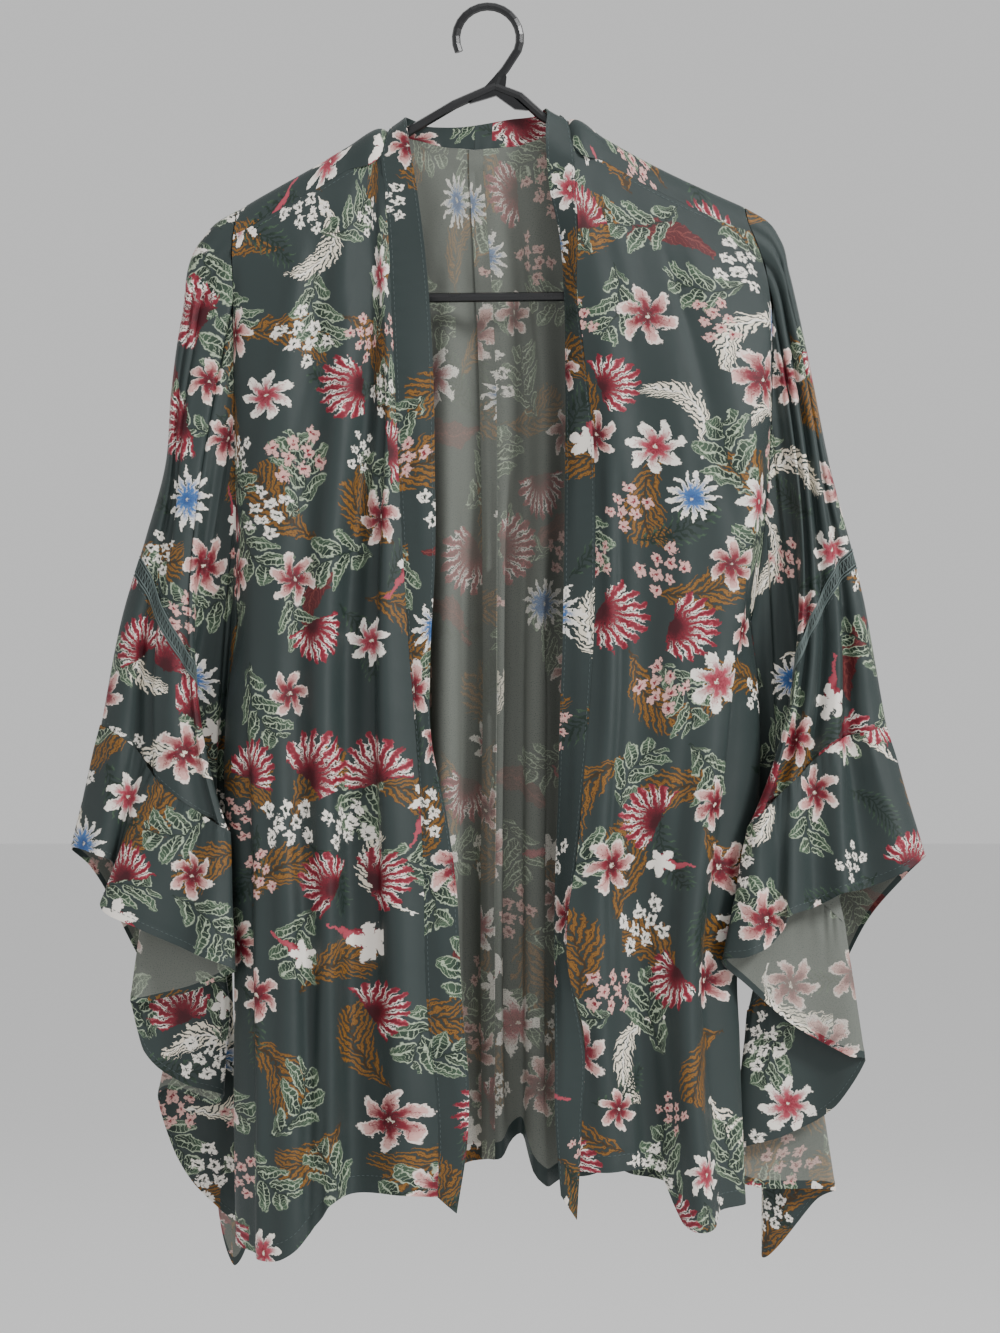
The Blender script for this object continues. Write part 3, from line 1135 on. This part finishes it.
# %% Threads from lines by Geometry Nodes
def thread_tree():
    tree = bpy.data.node_groups.new("threads", "GeometryNodeTree")
    face = tree.interface
    face.new_socket("Geometry", in_out="INPUT", socket_type="NodeSocketGeometry")
    radius = face.new_socket("Thread radius", in_out="INPUT", socket_type="NodeSocketFloat")
    sides = face.new_socket("Sides", in_out="INPUT", socket_type="NodeSocketInt")
    paint = face.new_socket("Material", in_out="INPUT", socket_type="NodeSocketMaterial")
    face.new_socket("Geometry", in_out="OUTPUT", socket_type="NodeSocketGeometry")
    nodes, links = tree.nodes, tree.links
    start, end = nodes.new("NodeGroupInput"), nodes.new("NodeGroupOutput")
    to_curve, circle = nodes.new("GeometryNodeMeshToCurve"), nodes.new("GeometryNodeCurvePrimitiveCircle")
    to_mesh, realize = nodes.new("GeometryNodeCurveToMesh"), nodes.new("GeometryNodeRealizeInstances")
    smooth, painter = nodes.new("GeometryNodeSetShadeSmooth"), nodes.new("GeometryNodeSetMaterial")
    to_mesh.inputs["Fill Caps"].default_value = True
    links.new(start.outputs["Geometry"], to_curve.inputs["Mesh"])
    links.new(start.outputs["Sides"], circle.inputs["Resolution"])
    links.new(start.outputs["Thread radius"], circle.inputs["Radius"])
    links.new(to_curve.outputs["Curve"], to_mesh.inputs["Curve"])
    links.new(circle.outputs["Curve"], to_mesh.inputs["Profile Curve"])
    links.new(to_mesh.outputs["Mesh"], realize.inputs["Geometry"])
    links.new(realize.outputs["Geometry"], smooth.inputs["Geometry"])
    links.new(smooth.outputs["Geometry"], painter.inputs["Geometry"])
    links.new(start.outputs["Material"], painter.inputs["Material"])
    links.new(painter.outputs["Geometry"], end.inputs["Geometry"])
    return tree, radius.identifier, sides.identifier, paint.identifier


THREADS = thread_tree()


def threads(name, lines, radius, material, sides=6):
    """One object of round threads along lines of points in millimetres."""
    tree, radius_key, sides_key, paint_key = THREADS
    points, edges = [], []
    for line in lines:
        first = len(points)
        points.extend((np.asarray(line) * MM).tolist())
        edges.extend((first + k, first + k + 1) for k in range(len(line) - 1))
    mesh = bpy.data.meshes.new(name)
    mesh.from_pydata(points, edges, [])
    guide = add_object(name + "_guide", mesh)
    modifier = guide.modifiers.new("threads", "NODES")
    modifier.node_group = tree
    modifier[radius_key] = radius * MM
    modifier[sides_key] = sides
    modifier[paint_key] = material
    guide.update_tag()
    graph = bpy.context.evaluated_depsgraph_get()
    made = bpy.data.meshes.new_from_object(guide.evaluated_get(graph), depsgraph=graph)
    bpy.data.objects.remove(guide)
    made.name = name
    piece = add_object(name, made)
    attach(piece, "root")
    print(name, len(lines), "threads,", len(made.polygons), "faces")
    return piece


STITCH, STITCH_GAP, STITCH_RADIUS = 2.6, 1.3, 0.22
# How high a stitch's ends and middle stand off the cloth, as shares of its lift
STITCH_BOW = np.array([0.35, 1.0, 0.35])


def at_places(at, run, values):
    """Three coordinates of a path, read at places along its run."""
    return np.stack([np.interp(at, run, values[:, axis]) for axis in range(3)], axis=-1)


def stitch_lines(path, lift):
    """Short lines along a path: one for each stitch, bowed up a little in the middle."""
    run = running(lengths_of(path))
    lines = []
    for start in np.arange(STITCH_GAP, run[-1] - STITCH, STITCH + STITCH_GAP):
        at = start + STITCH * np.array([0.0, 0.5, 1.0])
        lines.append(at_places(at, run, path) + at_places(at, run, lift) * STITCH_BOW[:, None])
    return lines

# %% [markdown]
# Every cloth piece below goes through the same steps: sample its grid about every 3 mm, press its
# creases in, fold its hem, and make the shell. The hems are turned up and stitched, so the shell
# thickens there and a shallow groove shows above the fold.

# %% Helpers for the pieces
STEP = 3.2
SEWN_REACH = 14.0
GROOVE_WIDTH = 1.6
grids = {}


def sample_count(length):
    return max(3, int(round(length / STEP)) + 1)


def measured(grid, out, closed=False):
    """A grid with its outward normals and its lengths across and down."""
    return grid, grid_normals(grid, closed) * out, lengths_across(grid), lengths_down(grid)


def pressed(grid, out, creases, sewn=(True, True), closed=False):
    """Grid with its creases, which fade towards sewn edges, and its normals and first lengths."""
    grid, normals, across, down = measured(grid, out, closed)
    fade = np.ones(len(across))
    for is_sewn, away in zip(sewn, (across, across[-1] - across)):
        if is_sewn:
            fade *= smooth_step(0.0, SEWN_REACH, away)
    grid = grid + normals * (crease_lift(across, down, creases) * fade)[:, :, None]
    return grid, grid_normals(grid, closed) * out, across, down


def hem_groove(grid, normals, down, width, depth=0.5):
    """Shallow groove where a turned-up hem is stitched, above the foot of a piece."""
    lift = -depth * np.exp(-((down - down[-1] + width) / GROOVE_WIDTH) ** 2)
    return grid + normals * lift[:, None, None]


def finish_piece(piece, node):
    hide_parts(node)

# %% [markdown]
# The fronts hang almost flat from the shoulder seam, with long soft folds that open towards the
# hem and a few drag lines from the shoulder's end. Their numbers are: place across at the top
# and at the foot, start and end down the piece, half width and height, all in millimetres.

# %% Fronts
FRONT_CREASES = {
    "left": (
        (20, 34, 110, 700, 5, -7.0), (150, 150, 330, 770, 5, -4.0),
        (25, 15, 150, 860, 9, 2.8), (47, 34, 220, 850, 14, -3.3), (71, 62, 90, 640, 18, 3.0),
        (95, 83, 300, 870, 13, -3.2), (111, 111, 420, 880, 11, 3.5), (130, 132, 260, 860, 12, -3.2),
        (111, 142, 20, 210, 9, 2.2), (87, 133, 40, 260, 8, -1.7), (38, 49, 10, 160, 10, 1.7),
        (77, 98, 560, 876, 7, 2.6), (19, 30, 500, 800, 6, -1.9), (145, 147, 480, 860, 6, 2.6),
        (58, 71, 10, 120, 7, -1.3),
    ),
    "right": (
        (22, 24, 200, 640, 5, -5.0), (132, 142, 260, 740, 6, -4.5),
        (22, 16, 130, 840, 10, 2.9), (43, 37, 260, 850, 15, -3.5), (68, 71, 70, 600, 17, 2.9),
        (87, 93, 320, 850, 12, -3.2), (107, 117, 380, 850, 12, 3.3), (126, 135, 240, 830, 11, -3.0),
        (104, 132, 15, 230, 9, 2.0), (78, 123, 30, 280, 8, -1.7), (36, 44, 12, 150, 9, 1.7),
        (56, 49, 540, 850, 7, -2.5), (138, 141, 470, 840, 6, 2.6), (18, 25, 420, 700, 6, -1.7),
    ),
}
HEM = {"front": 13.0, "back": 15.0}
BODY_LENGTH = 790.0
BODY_WIDTH = {"front": 200.0, "back": 250.0}
# How far the side edge reaches into the sleeve's first fold: height, reach
SIDE_REACH = {"left": ((-930, 14), (-700, 9), (-520, 8), (-457, 0)),
              "right": ((-900, 19), (-700, 19), (-600, 17), (-500, 8), (-459, 0))}


def body_piece(kind, side, rows_at, out, creases, seed):
    """Front or back half; below the underarm its side edge reaches into the sleeve's first fold."""
    name, hem = kind + "_" + side, HEM[kind]
    columns = np.linspace(0.0, 1.0, sample_count(BODY_WIDTH[kind]))
    grid = row_grid(rows_at, np.linspace(0.0, 1.0, sample_count(BODY_LENGTH)), columns)
    below = table_curve(SIDE_REACH[side], grid[:, -1, 2])[:, 0]
    grid[:, :, 0] += SIGN[side] * below[:, None] * smooth_step(0.88, 1.0, columns)[None, :]
    grid, normals, across, down = pressed(grid, out, creases)
    grid = hem_groove(grid, normals, down, hem)
    grids[name] = (grid, grid_normals(grid) * out, across, down)
    finish_piece(shell(name + "_cloth", grid, out, CLOTH, seed, turn_up=hem), name)


for side, seed in zip(SIGN, (11, 12)):
    body_piece("front", side, lambda v: front_rows(side, v), -SIGN[side], FRONT_CREASES[side], seed)

# %% [markdown]
# The back is cut in two halves with a seam down the middle. It starts at the forward shoulder
# seam, lies over the hanger's arms and falls in deeper folds than the fronts, because nothing
# holds it flat. The photo shows those folds through the open front.

# %% Back halves
BACK_CREASES = {
    "left": (
        (18, 16, 260, 800, 5, 6.0), (60, 56, 300, 800, 6, 5.5),
        (23, 19, 180, 900, 8, 3.4), (44, 42, 330, 910, 9, -4.1), (70, 66, 200, 900, 12, 4.1),
        (97, 99, 380, 915, 13, -4.1), (125, 122, 230, 900, 12, 3.7), (152, 156, 400, 915, 11, -3.9),
        (179, 175, 300, 880, 10, 3.4), (114, 177, 60, 300, 10, 2.7), (86, 152, 70, 330, 9, -2.4),
        (55, 59, 560, 915, 6, 3.1), (110, 110, 620, 915, 6, 2.7), (32, 57, 60, 240, 9, 1.7),
    ),
    "right": (
        (20, 24, 240, 800, 5, 6.0), (64, 60, 330, 800, 6, 5.5),
        (21, 25, 200, 900, 8, 3.6), (46, 48, 300, 910, 10, -4.1), (74, 72, 220, 900, 12, 3.9),
        (101, 95, 400, 915, 12, -3.9), (127, 129, 210, 900, 13, 3.7), (156, 152, 380, 915, 11, -3.7),
        (180, 180, 320, 880, 10, 3.2), (110, 171, 65, 290, 10, 2.5), (82, 144, 75, 320, 9, -2.4),
        (59, 55, 580, 915, 6, -2.9), (114, 118, 600, 915, 6, 2.9), (34, 55, 60, 230, 9, 1.9),
    ),
}
for side, seed in zip(SIGN, (13, 14)):
    body_piece("back", side, lambda v: back_rows(side, v), SIGN[side], BACK_CREASES[side], seed)

# %% [markdown]
# The band is a doubled strip, pressed flat. It is sewn to the neck and to the front edges, and
# it keeps its width all the way down. The seam pulls it a little, which leaves short
# slanting puckers along it.

# %% Neck band
BAND_CREASES = (
    (10, 16, 240, 420, 5, 0.9), (18, 10, 430, 640, 6, -0.8), (8, 20, 650, 860, 5, 0.9),
    (20, 12, 860, 1040, 5, -0.8), (14, 14, 960, 1090, 6, 0.8),
)
BAND_LENGTH, BAND_COLUMNS = 1080.0, 13
PUCKER, PUCKER_REACH = 0.25, 6.0
for side, seed in zip(SIGN, (15, 16)):
    name, out = "band_" + side, SIGN[side]
    rows = np.linspace(0.0, 1.0, sample_count(BAND_LENGTH))
    grid = band_grid(side, rows, np.linspace(0.0, 1.0, BAND_COLUMNS))
    grid, normals, across, down = pressed(grid, out, BAND_CREASES, sewn=(True, False))
    pucker = PUCKER * np.sin(down * 0.55)[:, None] * np.exp(-across / PUCKER_REACH)[None, :]
    grid = grid + normals * pucker[:, :, None]
    grids[name] = (grid, normals, across, down)
    finish_piece(shell(name + "_cloth", grid, out, (SATIN, SATIN), seed), name)

# %% [markdown]
# A sleeve is one wide piece, closed by a seam under the arm. A strip of ladder trim is let in
# above the elbow, and a gathered ruffle ends it. The sleeve hangs folded in zigzag beside the
# coat, so its tube is drawn in as many legs as the photo shows.

# %% Upper and lower sleeves
SLEEVE_CREASES = {
    "left": (
        (60, 70, 20, 250, 9, 1.9), (110, 100, 40, 255, 9, -1.8), (150, 168, 10, 240, 10, 1.9),
        (210, 200, 30, 255, 9, -1.7), (260, 268, 20, 250, 10, 1.8), (310, 300, 40, 250, 8, -1.7),
        (350, 360, 30, 240, 9, 1.6),
    ),
    "right": (
        (56, 62, 20, 245, 9, 1.9), (104, 112, 35, 250, 9, -1.8), (158, 150, 10, 235, 10, 1.8),
        (206, 214, 30, 250, 9, -1.7), (256, 250, 25, 245, 9, 1.8), (306, 312, 35, 245, 8, -1.7),
        (348, 340, 30, 235, 9, 1.6),
    ),
}
# Deep grooves beside a named row: the row, shift back along the ring, depth
SLEEVE_GROOVES = {
    "left": (("inner_crest", 0.004, -4.5), ("front_edge", 0.008, -4.0), ("wing_valley", 0.0, -3.0)),
    "right": (("front_crest", 0.012, -4.5), ("third_valley", 0.0, -3.0), ("second_valley", 0.0, -3.5),
              ("wing_valley", 0.0, -3.0)),
}
LOWER_CREASES = (
    (40, 52, 5, 98, 8, 1.2), (92, 84, 10, 98, 8, -1.1), (140, 150, 4, 98, 9, 1.2),
    (196, 188, 10, 98, 8, -1.1), (240, 250, 6, 98, 8, 1.1), (290, 282, 10, 98, 8, -1.1),
    (340, 348, 8, 98, 8, 1.1), (390, 380, 8, 98, 8, -1.0),
)


def round_columns(side, circumference):
    """Places round a sleeve, from the underarm seam round to it again."""
    places, names, *_ = sleeve_rows(side)
    under = places[names.index("underarm")]
    return (under + np.linspace(0.0, 1.0, sample_count(circumference), endpoint=False)) % 1.0


def groove_creases(side, grid, columns):
    """The sleeve's deep grooves, as creases that run its whole length."""
    across = lengths_across(grid)
    places, names, *_ = sleeve_rows(side)
    creases = []
    for row, shift, depth in SLEEVE_GROOVES[side]:
        middle = across[int(np.argmin(np.abs(columns - places[names.index(row)] + shift)))]
        creases.append((middle, middle, -40, 300, 5, depth))
    return tuple(creases)


SLEEVE_ROUND = 700.0
for side in SIGN:
    out = SIGN[side]
    columns = round_columns(side, SLEEVE_ROUND)
    trim_top, trim_foot = TRIM[side]
    gap = SEAM_GAP / SLEEVE_LENGTH
    for kind, low, high, creases, seed in (
            ("sleeve_upper_", 0.0, trim_top - gap, SLEEVE_CREASES[side], 21),
            ("sleeve_lower_", trim_foot + gap, 1.0 - gap, LOWER_CREASES, 23)):
        name = kind + side
        rows = np.linspace(low, high, sample_count((high - low) * SLEEVE_LENGTH))
        grid = sleeve_grid(side, rows, columns)
        creases += groove_creases(side, grid, columns)
        grids[name] = pressed(grid, out, creases, closed=True)
        piece = shell(name + "_cloth", grids[name][0], out, CLOTH, seed + (side == "right"), closed=True)
        finish_piece(piece, name)

# %% [markdown]
# The trim is a knitted tape with two cords along its edges and a zigzag of yarn between them. The
# tape itself is a plain shell. The cords and the zigzag are threads that stand on its face.

# %% Ladder trim
TAPE_ACROSS = 7
ZIGZAG_STEP = 3.6
TRIM_ROUND = 640.0
# Radius of the cords and of the zigzag, and how far each stands off the tape
CORD_RADIUS, YARN_RADIUS = 0.55, 0.32
EDGE_LIFT, INNER_LIFT, YARN_LIFT = 0.65, 0.55, 0.6
for side in SIGN:
    out = SIGN[side]
    grid = sleeve_grid(side, np.linspace(*TRIM[side], TAPE_ACROSS), round_columns(side, TRIM_ROUND))
    normals = grid_normals(grid, True) * out
    piece = shell("trim_" + side + "_tape", grid, out, (TRIM_KNIT, TRIM_KNIT), None, closed=True)
    finish_piece(piece, "trim_" + side)
    face = np.concatenate((grid, grid[:, :1]), axis=1)
    lift = np.concatenate((normals, normals[:, :1]), axis=1)
    lines = [face[row] + lift[row] * EDGE_LIFT for row in (0, TAPE_ACROSS - 1)]
    lines += [face[row] + lift[row] * INNER_LIFT for row in (1, TAPE_ACROSS - 2)]
    cords = threads("trim_" + side + "_cords", lines, CORD_RADIUS, TRIM_YARN)
    run = running(lengths_of(face[TAPE_ACROSS // 2]))
    turns = np.arange(0.0, run[-1], ZIGZAG_STEP / 2)
    edges = [face[row] + lift[row] * YARN_LIFT for row in (1, TAPE_ACROSS - 2)]
    zigzag = [[at_places(turns[k + n], run, edges[(k + n) % 2]) for n in range(2)]
              for k in range(len(turns) - 1)]
    rungs = threads("trim_" + side + "_zigzag", zigzag, YARN_RADIUS, TRIM_YARN, sides=5)

# %% [markdown]
# A ruffle is a straight strip, cut longer than the cuff and gathered onto it. The gathers are
# narrow and steep at the seam and die out in about 40 mm. Below them the strip swings in a few
# broad waves down to a narrow hem.

# %% Gathered ruffles
WAVE_HEIGHT, WAVE_ROOM = 2.8, 26.0
RUFFLE_ROUND, RUFFLE_ROWS, RUFFLE_HEM = 1350.0, 40, 6.0
GATHER_ROOM, GATHER_SINK = 3.0, 0.6


def ruffle_swing(side, columns):
    """Height of the ruffle's broad waves at its hem, the same as the part's."""
    places = sleeve_rows(side)[0]
    k = np.clip(np.searchsorted(places, columns, side="left") - 1, 0, len(places) - 2)
    gap = places[k + 1] - places[k]
    row = k + (columns - places[k]) / gap
    return WAVE_HEIGHT * np.minimum(1.0, gap * WAVE_ROOM) * np.sin(np.pi * row)


def gather(across, down, seed):
    """Lift of fine gathers under a seam: narrow ridges of uneven length, height and spacing."""
    chance = np.random.default_rng(seed)
    lift = np.zeros((len(down), len(across)))
    place = GATHER_ROOM
    while place < across[-1] - GATHER_ROOM:
        height, reach = chance.uniform(1.0, 2.3), chance.uniform(26.0, 72.0)
        width, drift = chance.uniform(1.9, 3.2), chance.uniform(-5.0, 5.0)
        middle = place + drift * down / reach
        spread = width * (1 + 1.4 * down / reach)
        ridge = np.exp(-((across[None] - middle[:, None]) / spread[:, None]) ** 2)
        lift += height * (1 - smooth_step(0.0, reach, down))[:, None] * ridge
        place += chance.uniform(6.0, 10.5)
    return lift - GATHER_SINK * (1 - smooth_step(0.0, 30.0, down))[:, None]


for number, side in enumerate(SIGN):
    name, out = "ruffle_" + side, SIGN[side]
    columns = round_columns(side, RUFFLE_ROUND)
    rows = np.linspace(0.001, 1.0, RUFFLE_ROWS)
    grid = ruffle_grid(side, rows, columns)
    swing = ruffle_swing(side, columns)[None] * rows[:, None]
    grid = grid + grid_normals(grid, True) * swing[:, :, None]
    grid, normals, across, down = measured(grid, out, True)
    grid = grid + normals * gather(across, down, 31 + number)[:, :, None]
    normals = grid_normals(grid, True) * out
    grid = hem_groove(grid, normals, down, RUFFLE_HEM, 0.35)
    grids[name] = (grid, normals, across, down)
    piece = shell(name + "_cloth", grid, out, CLOTH, 33 + number, closed=True, turn_up=RUFFLE_HEM)
    finish_piece(piece, name)

# %% [markdown]
# The seams and hems are sewn with a thread in the ground colour. Topstitching shows above the
# hems, along both edges of the band and beside the trim. Each run follows its piece's grid, a few
# millimetres inside the edge.

# %% Stitches
STITCH_LIFT = 0.75


def run_down(name, inset, edge):
    """Run of stitches down a piece, beside its first or last column."""
    grid, normals, across, _ = grids[name]
    at = across[-1] - inset if edge == "last" else inset
    column = int(np.argmin(np.abs(across - at)))
    rows = slice(int(0.02 * len(grid)), int(0.99 * len(grid)))
    return grid[rows, column], normals[rows, column] * STITCH_LIFT


def run_across(name, from_foot, closed=False):
    """Run of stitches along a piece, above its foot, or below its top where negative."""
    grid, normals, _, down = grids[name]
    at = down[-1] - from_foot if from_foot > 0 else -from_foot
    row = int(np.argmin(np.abs(down - at)))
    path, lift = grid[row], normals[row] * STITCH_LIFT
    if closed:
        path, lift = np.vstack((path, path[:1])), np.vstack((lift, lift[:1]))
    return path, lift


def sew(name, *runs):
    lines = [line for path, lift in runs for line in stitch_lines(path, lift)]
    piece = threads(name + "_stitches", lines, STITCH_RADIUS, SEWING_THREAD, sides=5)


for side in SIGN:
    front, back, band, upper, lower, ruffle = (
        kind + side for kind in ("front_", "back_", "band_", "sleeve_upper_", "sleeve_lower_", "ruffle_"))
    sew(front, run_across(front, HEM["front"]), run_across(front, -3.0))
    sew(back, run_across(back, HEM["back"]))
    sew(ruffle, run_across(ruffle, RUFFLE_HEM, True))
    sew(band, run_down(band, 2.0, "last"), run_down(band, 2.0, "first"))
    sew(upper, run_across(upper, 2.5, True))
    sew(lower, run_across(lower, -2.5, True), run_across(lower, 2.5, True))

# %% [markdown]
# Inside, the seam down the middle of the back is pressed open. Its two allowances lie flat on
# the wrong side and close the line between the halves.

# %% Centre back seam allowance
ALLOWANCE = 7.0
ALLOWANCE_RISE = 0.95
halves = []
for side in SIGN:
    grid, normals, across, _ = grids["back_" + side]
    chosen = [int(np.argmin(np.abs(across - reach))) for reach in (0.0, ALLOWANCE / 2, ALLOWANCE)]
    halves.append(grid[:, chosen] - normals[:, chosen] * ALLOWANCE_RISE)
strip = np.concatenate((halves[0][:, ::-1], halves[1]), axis=1)
allowance = shell("centre_back_allowance", strip, 1, (WRONG_SIDE, WRONG_SIDE), 41)

# %% [markdown]
# The hanger is one moulding of black plastic. Its solid is already the real form, so it keeps its
# mesh and only takes a better finish.

# %% Hanger
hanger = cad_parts["hanger"]
for place in hanger.material_slots:
    place.material = PLASTIC
print("hanger keeps", len(hanger.data.polygons), "faces")

# %% [markdown]
# The coat hangs free, a short way above a plain pale floor.

# %% Floor
FLOOR_HEIGHT, FLOOR_REACH = -1.35, 12.0
mesh = bpy.data.meshes.new("floor")
mesh.from_pydata([(x * FLOOR_REACH, y * FLOOR_REACH, FLOOR_HEIGHT)
                  for x, y in ((-1, -1), (1, -1), (1, 1), (-1, 1))], [], [(0, 1, 2, 3)])
material, _, inputs = new_material("studio_floor", {
    "Base Color": (0.86, 0.86, 0.86, 1.0), "Roughness": 0.7})
mesh.materials.append(material)
add_object("floor", mesh)
print("floor at", FLOOR_HEIGHT, "m")

# %% [markdown]
# Each cloth piece is stated with the size of its flat cut. The maker cuts every one of them from
# flat cloth, so the area of the mesh has to come close to the area of the cut.

# %% Sheets
# Width and length of the cut in metres, area of the one layer in square metres, what it hangs from
FLAT_CUTS = {
    "front_left": (0.175, 0.79, 0.129, "back_left_cloth"),
    "front_right": (0.165, 0.77, 0.113, "back_right_cloth"),
    "back_left": (0.245, 0.81, 0.190, "hanger"),
    "back_right": (0.26, 0.81, 0.196, "hanger"),
    "band_left": (0.024, 0.89, 0.020, "front_left_cloth"),
    "band_right": (0.024, 0.9, 0.019, "front_right_cloth"),
    "sleeve_upper_left": (0.235, 0.28, 0.060, "back_left_cloth"),
    "sleeve_upper_right": (0.225, 0.275, 0.057, "back_right_cloth"),
    "sleeve_lower_left": (0.41, 0.115, 0.046, "trim_left_tape"),
    "sleeve_lower_right": (0.415, 0.12, 0.049, "trim_right_tape"),
    "ruffle_left": (0.62, 0.13, 0.058, "sleeve_lower_left_cloth"),
    "ruffle_right": (0.66, 0.13, 0.071, "sleeve_lower_right_cloth"),
}
for name, (width, length, area, rests) in FLAT_CUTS.items():
    piece = bpy.data.objects[name + "_cloth"]
    worn = sum(face.area for face in piece.data.polygons) / 2
    print(name, "measured area", round(worn, 4), "stated", area)
for side in SIGN:
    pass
